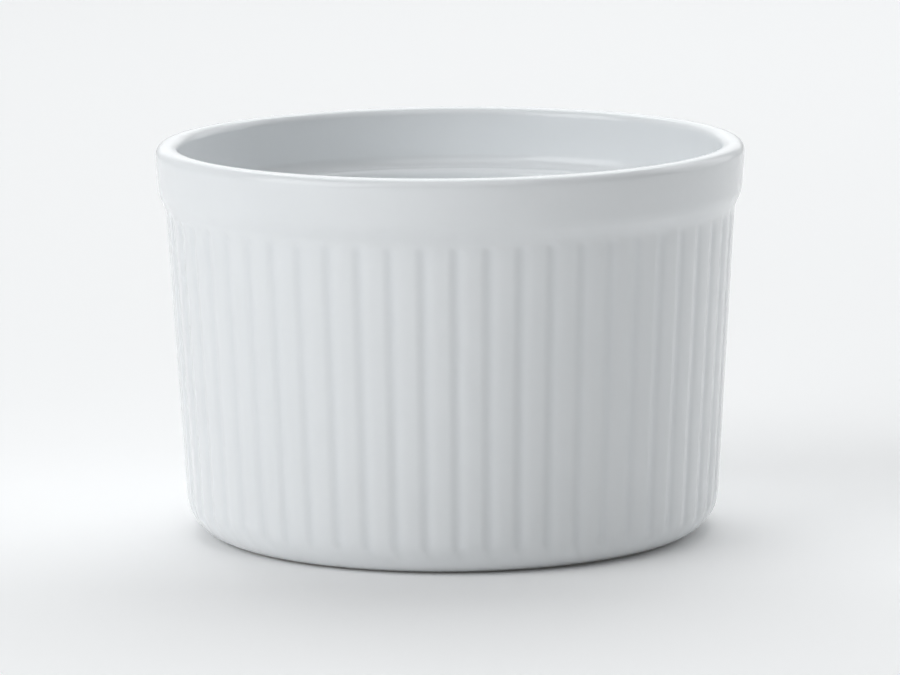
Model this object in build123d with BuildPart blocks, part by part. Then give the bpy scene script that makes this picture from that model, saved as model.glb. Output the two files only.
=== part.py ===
from build123d import *
from math import atan2, cos, radians, sin, tan
import os

# A fluted porcelain ramekin, in millimetres. It stands on the XY plane with its axis on Z.

# Overall sizes
rim_diameter = 90.0
dish_height = 60.0

# Lip and collar, the plain band around the top
lip_thickness = 3.4
lip_outer_radius = 1.9
collar_height = 7.3
collar_taper = 0.38
collar_step = 1.12
collar_bevel_height = 2.4
collar_corner_radius = 5.0
collar_cove_radius = 4.0

# Fluted outer wall, which narrows towards the table
wall_taper = 2.94
heel_radius = 6.2

# Foot ring and the hollow under the dish
foot_width = 1.8
foot_rise = 1.4
foot_flank_width = 1.6
foot_edge_radius = 0.5
foot_hollow_radius = 1.2

# Inner ledge that the heel of the next dish sits on when dishes are stacked
ledge_depth = 9.1
ledge_width = 3.2
ledge_fall = 0.35
ledge_cove_radius = 2.0
ledge_edge_radius = 1.2
ledge_wall_taper = 0.15

# Inside of the dish below the ledge
floor_thickness = 4.5
well_taper = 2.5
well_floor_radius = 6.0

# Grooves in the outer wall
groove_count = 56
groove_width = 2.4
groove_depth = 0.25
groove_start_gap = 0.1
groove_run_in_degrees = 35.0
groove_heel_drop = 1.1
groove_run_out_degrees = 17.0
groove_run_out_length = 4.0
cut_overrun = 0.3

# Outline of the outside, as radius and height
rim_radius = rim_diameter / 2
lip_inner_radius = lip_thickness - lip_outer_radius
collar_corner = (rim_radius - collar_taper, dish_height - collar_height)
wall_top = (collar_corner[0] - collar_step, collar_corner[1] - collar_bevel_height)
wall_bottom = (wall_top[0] - wall_taper, 0)

# The wall leans outwards by this angle, and the heel's arc touches wall and table
wall_angle = atan2(wall_taper, wall_top[1])
wall_up = Vector(sin(wall_angle), 0, cos(wall_angle))
wall_out = Vector(cos(wall_angle), 0, -sin(wall_angle))
foot_outer_radius = wall_bottom[0] - heel_radius * (1 / cos(wall_angle) - tan(wall_angle))
heel_centre = Vector(foot_outer_radius, 0, heel_radius)
foot_inner_radius = foot_outer_radius - foot_width
hollow_corner = (foot_inner_radius - foot_flank_width, foot_rise)

# Outline of the inside
inner_spring_radius = rim_radius - lip_thickness
ledge_corner = (inner_spring_radius - ledge_wall_taper, dish_height - ledge_depth)
ledge_edge = (ledge_corner[0] - ledge_width, ledge_corner[1] - ledge_fall)
well_corner = (ledge_edge[0] - well_taper, foot_rise + floor_thickness)

outside_points = [
    (0, foot_rise),
    hollow_corner,
    (foot_inner_radius, 0),
    wall_bottom,
    wall_top,
    collar_corner,
    (rim_radius, dish_height - lip_outer_radius),
]
outside_radii = [
    foot_hollow_radius,
    foot_edge_radius,
    heel_radius,
    collar_cove_radius,
    collar_corner_radius,
]
inside_points = [
    (inner_spring_radius, dish_height - lip_inner_radius),
    ledge_corner,
    ledge_edge,
    well_corner,
    (0, well_corner[1]),
]
inside_radii = [ledge_cove_radius, ledge_edge_radius, well_floor_radius]

# Plain dish: one outline turned about the axis
with BuildPart() as plain_dish:
    with BuildSketch(Plane.XZ):
        with BuildLine():
            outside = FilletPolyline(*outside_points, radius=outside_radii)
            inside = FilletPolyline(*inside_points, radius=inside_radii)
            outer_lip = JernArc(outside @ 1, (0, 1), lip_outer_radius, 90)
            JernArc(outer_lip @ 1, outer_lip % 1, lip_inner_radius, 90)
            Line(inside @ 1, outside @ 0)
        make_face()
    revolve(axis=Axis.Z)

# Path of a groove's floor: in under the collar, down along the wall, out of the heel
run_in = radians(groove_run_in_degrees)
run_out = radians(groove_run_out_degrees)
cut_height = groove_depth + cut_overrun
full_depth_height = wall_top[1] - groove_start_gap - groove_depth / tan(run_in)
full_depth_start = (
    Vector(wall_bottom[0], 0, 0)
    + wall_up * (full_depth_height / cos(wall_angle))
    - wall_out * groove_depth
)
run_in_start = full_depth_start + wall_up * (cut_height / tan(run_in)) + wall_out * cut_height
heel_bend = heel_centre + wall_out * (heel_radius - groove_depth) - wall_up * groove_heel_drop
run_out_end = heel_bend - (wall_up * cos(run_out) + wall_out * sin(run_out)) * groove_run_out_length
with BuildLine(Plane.XZ) as groove_path:
    Polyline(run_in_start, full_depth_start, heel_bend, run_out_end)

# Section of a groove: a shallow round floor, open to the outside
half_width = groove_width / 2
with BuildPart() as groove_cutter:
    with BuildSketch(Plane(run_in_start, x_dir=(0, 1, 0), z_dir=full_depth_start - run_in_start)):
        with BuildLine():
            floor_arc = ThreePointArc((-half_width, groove_depth), (0, 0), (half_width, groove_depth))
            Polyline(
                floor_arc @ 1,
                (half_width, cut_height),
                (-half_width, cut_height),
                floor_arc @ 0,
            )
        make_face()
    sweep(path=groove_path.wires()[0], transition=Transition.RIGHT)

# The fluted dish
with BuildPart() as dish_body:
    add(plain_dish.part)
    with PolarLocations(0, groove_count):
        add(groove_cutter.part, mode=Mode.SUBTRACT)

dish_body.part.label = "dish_body"

os.makedirs("parts", exist_ok=True)
export_step(dish_body.part, "parts/dish_body.step")
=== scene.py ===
from math import atan2, cos, pi, radians, sin, tan

import bpy
from mathutils import Matrix, Vector


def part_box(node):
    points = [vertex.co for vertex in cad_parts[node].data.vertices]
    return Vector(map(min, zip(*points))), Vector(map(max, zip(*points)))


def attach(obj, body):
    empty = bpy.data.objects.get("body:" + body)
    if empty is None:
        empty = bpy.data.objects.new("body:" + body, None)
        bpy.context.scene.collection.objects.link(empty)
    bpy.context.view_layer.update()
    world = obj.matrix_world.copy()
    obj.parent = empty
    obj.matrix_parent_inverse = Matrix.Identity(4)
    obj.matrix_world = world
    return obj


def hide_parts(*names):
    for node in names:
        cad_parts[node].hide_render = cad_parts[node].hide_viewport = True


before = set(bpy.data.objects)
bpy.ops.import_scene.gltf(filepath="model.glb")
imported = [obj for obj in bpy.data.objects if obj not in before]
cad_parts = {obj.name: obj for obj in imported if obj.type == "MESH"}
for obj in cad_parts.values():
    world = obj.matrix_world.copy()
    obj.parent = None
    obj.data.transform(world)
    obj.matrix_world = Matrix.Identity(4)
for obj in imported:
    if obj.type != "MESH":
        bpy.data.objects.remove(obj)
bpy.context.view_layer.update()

mm = 0.001
weld = 0.01 * mm
upAxis = (0, 0, 1)

# The dish: its outline is drawn once, spun into a slice one rib wide, grooved,
# and copied all the way round. Sizes are in millimetres, heights from the table.
dish = {
    "hollowRadius": 31.2,       # the hollow inside the foot ring
    "hollowRounding": 1.2,
    "footRise": 1.4,            # how far that hollow stands off the table
    "footInnerRadius": 32.8,
    "footRounding": 0.5,
    "wallFootRadius": 40.56,    # where the line of the wall meets the table
    "heelRounding": 6.2,
    "wallTopRadius": 43.5,
    "wallTopHeight": 50.3,
    "coveRounding": 4.0,        # under the collar
    "collarRadius": 44.62,
    "collarHeight": 52.7,
    "collarRounding": 5.0,
    "lipThickness": 3.4,
    "lipOuterRounding": 1.4,
    "lipInnerRounding": 1.3,
    "ledgeCorner": (41.45, 50.9),
    "ledgeCornerRounding": 2.0,
    "ledgeEdge": (38.25, 50.55),
    "ledgeEdgeRounding": 1.2,
    "wellRadius": 35.75,
    "wellRounding": 6.0,
    "floorHeight": 5.9,
    "glazeEdgeHeight": 0.2,     # the foot ring is bare below this height
    "ribs": 56,
    # share of a rib's width, and columns in it: rib, gentle side, steep side, rib
    "columns": ((0.1, 1), (0.4, 7), (0.3, 5), (0.2, 1)),
}

# A groove has one steep side and one gentle one. Each pass presses an upright line in,
# and the push fades out over its reach to both sides and at both ends.
groove = {
    # columns into the gentle side, reach, lower end, upper end, depth
    "passes": (
        (0, 1.3, 4.6, 49.3, 0.155),
        (2, 1.35, 3.4, 49.1, 0.08),
        (4, 1.35, 2.6, 49.1, 0.045),
    ),
    "endRows": 48.0,            # above this height the rows lie close together
    "lineWidth": 0.2,           # share of a column's width that counts as on a line
    "outwards": 0.3,            # a normal on the outside points out by this much or more
}


def dishCorners():
    # each one: radius, height, rounding, rows in the rounding, rows in the run up to it
    low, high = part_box("dish_body")
    rimRadius = (high.x - low.x) / 2 / mm
    rimHeight = high.z / mm
    outerRounding = dish["lipOuterRounding"]
    innerRadius = rimRadius - dish["lipThickness"]
    innerRounding = dish["lipInnerRounding"]
    wallLean = (dish["wallTopRadius"] - dish["wallFootRadius"]) / dish["wallTopHeight"]
    endRadius = dish["wallFootRadius"] + wallLean * groove["endRows"]
    return (
        (dish["hollowRadius"], dish["footRise"], dish["hollowRounding"], 3, 5),
        (dish["footInnerRadius"], 0, dish["footRounding"], 3, 1),
        (dish["wallFootRadius"], 0, dish["heelRounding"], 18, 2),
        (endRadius, groove["endRows"], 0, 0, 12),
        (dish["wallTopRadius"], dish["wallTopHeight"], dish["coveRounding"], 6, 4),
        (dish["collarRadius"], dish["collarHeight"], dish["collarRounding"], 7, 1),
        (rimRadius, rimHeight - outerRounding, 0, 0, 3),
        (rimRadius, rimHeight, outerRounding, 7, 0),
        (innerRadius, rimHeight, innerRounding, 7, 2),
        (innerRadius, rimHeight - innerRounding, 0, 0, 0),
        (*dish["ledgeCorner"], dish["ledgeCornerRounding"], 7, 3),
        (*dish["ledgeEdge"], dish["ledgeEdgeRounding"], 6, 1),
        (dish["wellRadius"], dish["floorHeight"], dish["wellRounding"], 10, 5),
        (0, dish["floorHeight"], 0, 0, 7),
    )


def extrudeTo(start, end, rows):
    step = (end - start) * mm / max(rows, 1)
    for row in range(rows):
        bpy.ops.mesh.extrude_region_move(
            TRANSFORM_OT_translate={"value": (step.x, 0, step.y)})


def drawOutline():
    # from the middle of the underside round the heel, up, over the lip and back in
    corners = dishCorners()
    here = Vector((0, dish["footRise"]))
    bpy.ops.mesh.primitive_plane_add(size=mm, location=(0, 0, here.y * mm))
    bpy.ops.object.transform_apply(location=True)
    bpy.ops.object.mode_set(mode="EDIT")
    bpy.ops.mesh.merge(type="CENTER")
    for index, (radius, height, rounding, arcRows, rows) in enumerate(corners):
        corner = Vector((radius, height))
        if rounding == 0:
            extrudeTo(here, corner, rows)
            here = corner
            continue
        heading = (corner - here).normalized()
        nextHeading = (Vector(corners[index + 1][:2]) - corner).normalized()
        turn = atan2(heading.x * nextHeading.y - heading.y * nextHeading.x,
                     heading.dot(nextHeading))
        setback = rounding * tan(abs(turn) / 2)
        arcStart = corner - heading * setback
        extrudeTo(here, arcStart, rows)
        side = Vector((-heading.y, heading.x)) * (1 if turn > 0 else -1)
        centre = (arcStart + side * rounding) * mm
        bpy.ops.mesh.spin(steps=arcRows, angle=turn, axis=(0, 1, 0),
                          center=(centre.x, 0, centre.y))
        here = corner + nextHeading * setback
    print("dish outline:", len(corners), "corners")
    return bpy.context.object


def spinSlice():
    # one rib wide, with the deepest line of its groove on the X axis
    ribAngle = 2 * pi / dish["ribs"]
    bpy.ops.mesh.select_all(action="SELECT")
    bpy.ops.transform.rotate(value=-ribAngle / 2, orient_axis="Z",
                             center_override=(0, 0, 0))
    for share, columns in dish["columns"]:
        bpy.ops.mesh.spin(steps=columns, angle=ribAngle * share, axis=upAxis,
                          center=(0, 0, 0))
    bpy.ops.mesh.select_all(action="SELECT")
    bpy.ops.mesh.remove_doubles(threshold=weld)
    bpy.ops.mesh.normals_make_consistent(inside=False)
    print("dish slice:", sum(columns for share, columns in dish["columns"]), "columns")


def selectVertices(piece, chosen):
    bpy.ops.mesh.select_all(action="DESELECT")
    bpy.ops.object.mode_set(mode="OBJECT")
    for vertex in piece.data.vertices:
        vertex.select = chosen(vertex)
    bpy.ops.object.mode_set(mode="EDIT")


def pressGroove(piece):
    bpy.ops.object.mode_set(mode="OBJECT")
    before = [vertex.co.copy() for vertex in piece.data.vertices]
    bpy.ops.object.mode_set(mode="EDIT")
    share, columns = dish["columns"][1]
    columnAngle = 2 * pi / dish["ribs"] * share / columns
    tolerance = columnAngle * groove["lineWidth"] / 2
    for column, reach, lowEnd, highEnd, depth in groove["passes"]:
        lineAngle = column * columnAngle
        selectVertices(piece, lambda vertex: vertex.normal.x > groove["outwards"]
                       and abs(atan2(vertex.co.y, vertex.co.x) - lineAngle) < tolerance
                       and lowEnd * mm < vertex.co.z < highEnd * mm)
        bpy.ops.transform.shrink_fatten(value=-depth * mm, use_proportional_edit=True,
                                        proportional_edit_falloff="SMOOTH",
                                        proportional_size=reach * mm)
    # how deep each point was pressed, from 0 to 1, kept for its colour: the glaze gathers deeper
    # in the groove, and shade is painted there too
    bpy.ops.object.mode_set(mode="OBJECT")
    pressed = [(vertex.co - start).length for vertex, start in zip(piece.data.vertices, before)]
    deepest = max(pressed)
    grooveGlazeAndShade = piece.data.attributes.new("grooveGlazeAndShade", "FLOAT", "POINT")
    for entry, depth in zip(grooveGlazeAndShade.data, pressed):
        entry.value = depth / deepest
    bpy.ops.object.mode_set(mode="EDIT")
    print("groove:", round(deepest / mm, 3), "mm at its deepest")


def copyRound():
    ribs = dish["ribs"]
    bpy.ops.mesh.select_all(action="SELECT")
    bpy.ops.mesh.spin(steps=ribs - 1, angle=2 * pi * (ribs - 1) / ribs, axis=upAxis,
                      center=(0, 0, 0), dupli=True)
    bpy.ops.mesh.select_all(action="SELECT")
    bpy.ops.mesh.remove_doubles(threshold=weld)
    bpy.ops.mesh.normals_make_consistent(inside=False)


def makeDish(glaze, bareClay):
    piece = drawOutline()
    spinSlice()
    pressGroove(piece)
    copyRound()
    bpy.ops.object.mode_set(mode="OBJECT")
    bpy.ops.object.shade_smooth()
    piece.name = "ramekin_dish"
    piece.data.name = "ramekin_dish"
    piece.data.materials.append(glaze)
    piece.data.materials.append(bareClay)
    for face in piece.data.polygons:
        onFootRing = face.center.z < dish["glazeEdgeHeight"] * mm
        face.material_index = 1 if onFootRing else 0
    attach(piece, "root")
    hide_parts("dish_body")
    print("dish:", len(piece.data.vertices), "vertices,", len(piece.data.polygons), "faces")


def newMaterial(name):
    material = bpy.data.materials.new(name)
    material.use_nodes = True
    nodes = material.node_tree.nodes
    return material, nodes, material.node_tree.links, nodes["Principled BSDF"]


# Most of a cloud pattern's values lie in this span.
cloudSpan = (0.3, 0.7)
cloudDetail = 3


def cloudsOf(nodes, links, size):
    # soft clouds of about this size in millimetres, fixed to the piece
    place = nodes.new("ShaderNodeTexCoord")
    clouds = nodes.new("ShaderNodeTexNoise")
    clouds.inputs["Scale"].default_value = 1 / (size * mm)
    clouds.inputs["Detail"].default_value = cloudDetail
    links.new(place.outputs["Object"], clouds.inputs["Vector"])
    return clouds.outputs["Fac"]


def spread(nodes, links, value, low, high):
    # stretches the clouds' span to low and high
    node = nodes.new("ShaderNodeMapRange")
    node.inputs["From Min"].default_value = cloudSpan[0]
    node.inputs["From Max"].default_value = cloudSpan[1]
    node.inputs["To Min"].default_value = low
    node.inputs["To Max"].default_value = high
    links.new(value, node.inputs["Value"])
    return node.outputs["Result"]


def blend(nodes, links, factor, first, second):
    node = nodes.new("ShaderNodeMix")
    node.data_type = "RGBA"
    for socket, colour in (("A", first), ("B", second)):
        if isinstance(colour, tuple):
            node.inputs[socket].default_value = colour
        else:
            links.new(colour, node.inputs[socket])
    links.new(factor, node.inputs["Factor"])
    return node.outputs["Result"]


def roughen(nodes, links, shader, layers):
    # each layer is the size of its waves and their height, in millimetres
    normal = None
    for size, height in layers:
        bump = nodes.new("ShaderNodeBump")
        bump.inputs["Strength"].default_value = 1
        bump.inputs["Distance"].default_value = height * mm
        links.new(cloudsOf(nodes, links, size), bump.inputs["Height"])
        if normal:
            links.new(normal, bump.inputs["Normal"])
        normal = bump.outputs["Normal"]
    links.new(normal, shader.inputs["Normal"])


# The glaze: cool white and glassy, darker in the grooves, partly as gathered glaze and partly as
# painted shade, with faint clouds in it and a skin that is never quite even.
glazeLook = {
    "colour": (0.88, 0.9, 0.914, 1),
    "cloudColour": (0.866, 0.888, 0.903, 1),
    "cloudSize": 18,
    # darker colour in the grooves: deeper glaze there and painted shade
    "grooveGlazeAndShadeColour": (0.842, 0.865, 0.882, 1),
    "roughness": (0.13, 0.2),
    "smearSize": 9,
    "waves": ((14, 0.05), (1.6, 0.002)),
    "glow": 0.12,               # share of the light that goes in and comes out close by
    "glowReach": 1.2,
    "glowShares": (1, 1, 1),    # red, green and blue go equally far
}


def makeGlaze():
    material, nodes, links, shader = newMaterial("coolWhiteGlaze")
    clouds = spread(nodes, links, cloudsOf(nodes, links, glazeLook["cloudSize"]), 0, 1)
    colour = blend(nodes, links, clouds, glazeLook["colour"], glazeLook["cloudColour"])
    # painted shade: the groove colour is darkened by pressed depth, along with the deeper glaze
    # there
    grooveGlazeAndShade = nodes.new("ShaderNodeAttribute")
    grooveGlazeAndShade.attribute_name = "grooveGlazeAndShade"
    colour = blend(nodes, links, grooveGlazeAndShade.outputs["Fac"], colour, glazeLook["grooveGlazeAndShadeColour"])
    links.new(colour, shader.inputs["Base Color"])
    smears = cloudsOf(nodes, links, glazeLook["smearSize"])
    links.new(spread(nodes, links, smears, *glazeLook["roughness"]), shader.inputs["Roughness"])
    roughen(nodes, links, shader, glazeLook["waves"])
    shader.inputs["Subsurface Weight"].default_value = glazeLook["glow"]
    shader.inputs["Subsurface Radius"].default_value = glazeLook["glowShares"]
    shader.inputs["Subsurface Scale"].default_value = glazeLook["glowReach"] * mm
    print("glaze ready")
    return material


# The foot ring is wiped before firing, so its bare body shows: dull, warm and grainy.
clayLook = {
    "colour": (0.74, 0.72, 0.68, 1),
    "grainColour": (0.64, 0.62, 0.58, 1),
    "grainSize": 0.6,
    "roughness": (0.7, 0.9),
    "grain": ((0.6, 0.03), (4, 0.03)),
}


def makeBareClay():
    material, nodes, links, shader = newMaterial("bareFootRing")
    grain = spread(nodes, links, cloudsOf(nodes, links, clayLook["grainSize"]), 0, 1)
    colour = blend(nodes, links, grain, clayLook["colour"], clayLook["grainColour"])
    links.new(colour, shader.inputs["Base Color"])
    links.new(spread(nodes, links, grain, *clayLook["roughness"]), shader.inputs["Roughness"])
    roughen(nodes, links, shader, clayLook["grain"])
    print("bare clay ready")
    return material


# The camera stands where the photograph was taken from.
view = {
    "distance": 900.0,          # from the dish's axis, level
    "height": 175.29,
    "aside": 0.8,               # degrees to the left of the front
    "pitch": 9.197,             # degrees downwards
    "roll": -0.494,
    "pan": 0.0152,              # degrees to the left
    "lens": 237.27,
    "sensorWidth": 36,
}


def makeCamera():
    bpy.ops.object.camera_add()
    camera = bpy.context.object
    camera.name = "photoCamera"
    camera.data.sensor_width = view["sensorWidth"]
    camera.data.lens = view["lens"]
    aside = Matrix.Rotation(radians(-view["aside"]), 4, "Z")
    place = Matrix.Translation((0, -view["distance"] * mm, view["height"] * mm))
    pitch = Matrix.Rotation(radians(90 - view["pitch"]), 4, "X")
    roll = Matrix.Rotation(radians(view["roll"]), 4, "Z")
    pan = Matrix.Rotation(radians(view["pan"]), 4, "Y")
    camera.matrix_world = aside @ place @ pitch @ roll @ pan
    bpy.context.scene.camera = camera
    print("camera:", view["lens"], "mm lens")


# Soft boxes round the dish, each turned to it, in a dim room with a pale wall behind it.
studio = {
    "boxDistance": 1500.0,
    "boxWidth": 1200.0,
    # name, degrees to the right of the front, degrees up, strength in watts
    "boxes": (
        ("leftSoftbox", -60, 30, 11.0),
        ("frontTopSoftbox", 0, 60, 5.0),
        ("rightSoftbox", 120, 25, 5.1),
        ("backSoftbox", 180, 30, 2.7),
        ("backTopSoftbox", 180, 60, 7.9),
    ),
    "aimHeight": 30.0,
    "lightColour": (0.975, 0.99, 1),
    "roomStrength": 0.02,
    "backWallStrength": 0.7,    # added behind the dish, fading out to both sides
    "floorWidth": 20000.0,
    "floorColour": (0.95, 0.95, 0.95, 1),
    "floorRoughness": 0.9,
    "floorGlow": 0.02,
}


def makeSoftboxes():
    distance = studio["boxDistance"] * mm
    for name, turn, up, strength in studio["boxes"]:
        level = distance * cos(radians(up))
        place = Vector((level * sin(radians(turn)), -level * cos(radians(turn)),
                        distance * sin(radians(up))))
        bpy.ops.object.light_add(type="AREA", location=place)
        light = bpy.context.object
        light.name = name
        light.data.size = studio["boxWidth"] * mm
        light.data.energy = strength
        light.data.color = studio["lightColour"]
        aim = Vector((0, 0, studio["aimHeight"] * mm)) - place
        light.rotation_euler = aim.to_track_quat("-Z", "Y").to_euler()
        light.visible_camera = False
    print("lights:", len(studio["boxes"]))


def makeRoom():
    world = bpy.data.worlds.new("dimRoom")
    world.use_nodes = True
    nodes, links = world.node_tree.nodes, world.node_tree.links
    background = nodes["Background"]
    background.inputs["Color"].default_value = (*studio["lightColour"], 1)
    direction = nodes.new("ShaderNodeTexCoord")
    parts = nodes.new("ShaderNodeSeparateXYZ")
    strength = nodes.new("ShaderNodeMapRange")
    strength.inputs["To Min"].default_value = studio["roomStrength"]
    strength.inputs["To Max"].default_value = studio["roomStrength"] + studio["backWallStrength"]
    links.new(direction.outputs["Generated"], parts.inputs["Vector"])
    links.new(parts.outputs["Y"], strength.inputs["Value"])
    links.new(strength.outputs["Result"], background.inputs["Strength"])
    bpy.context.scene.world = world
    print("room ready")


def makeFloor():
    bpy.ops.mesh.primitive_plane_add(size=studio["floorWidth"] * mm)
    floor = bpy.context.object
    floor.name = "paleFloor"
    material, _, _, shader = newMaterial("paleFloor")
    shader.inputs["Base Color"].default_value = studio["floorColour"]
    shader.inputs["Roughness"].default_value = studio["floorRoughness"]
    shader.inputs["Emission Color"].default_value = (1, 1, 1, 1)
    shader.inputs["Emission Strength"].default_value = studio["floorGlow"]
    floor.data.materials.append(material)
    print("floor ready")


bpy.ops.object.select_all(action="DESELECT")
makeCamera()
makeRoom()
makeFloor()
makeSoftboxes()
makeDish(makeGlaze(), makeBareClay())
bpy.context.scene.view_settings.view_transform = "Standard"
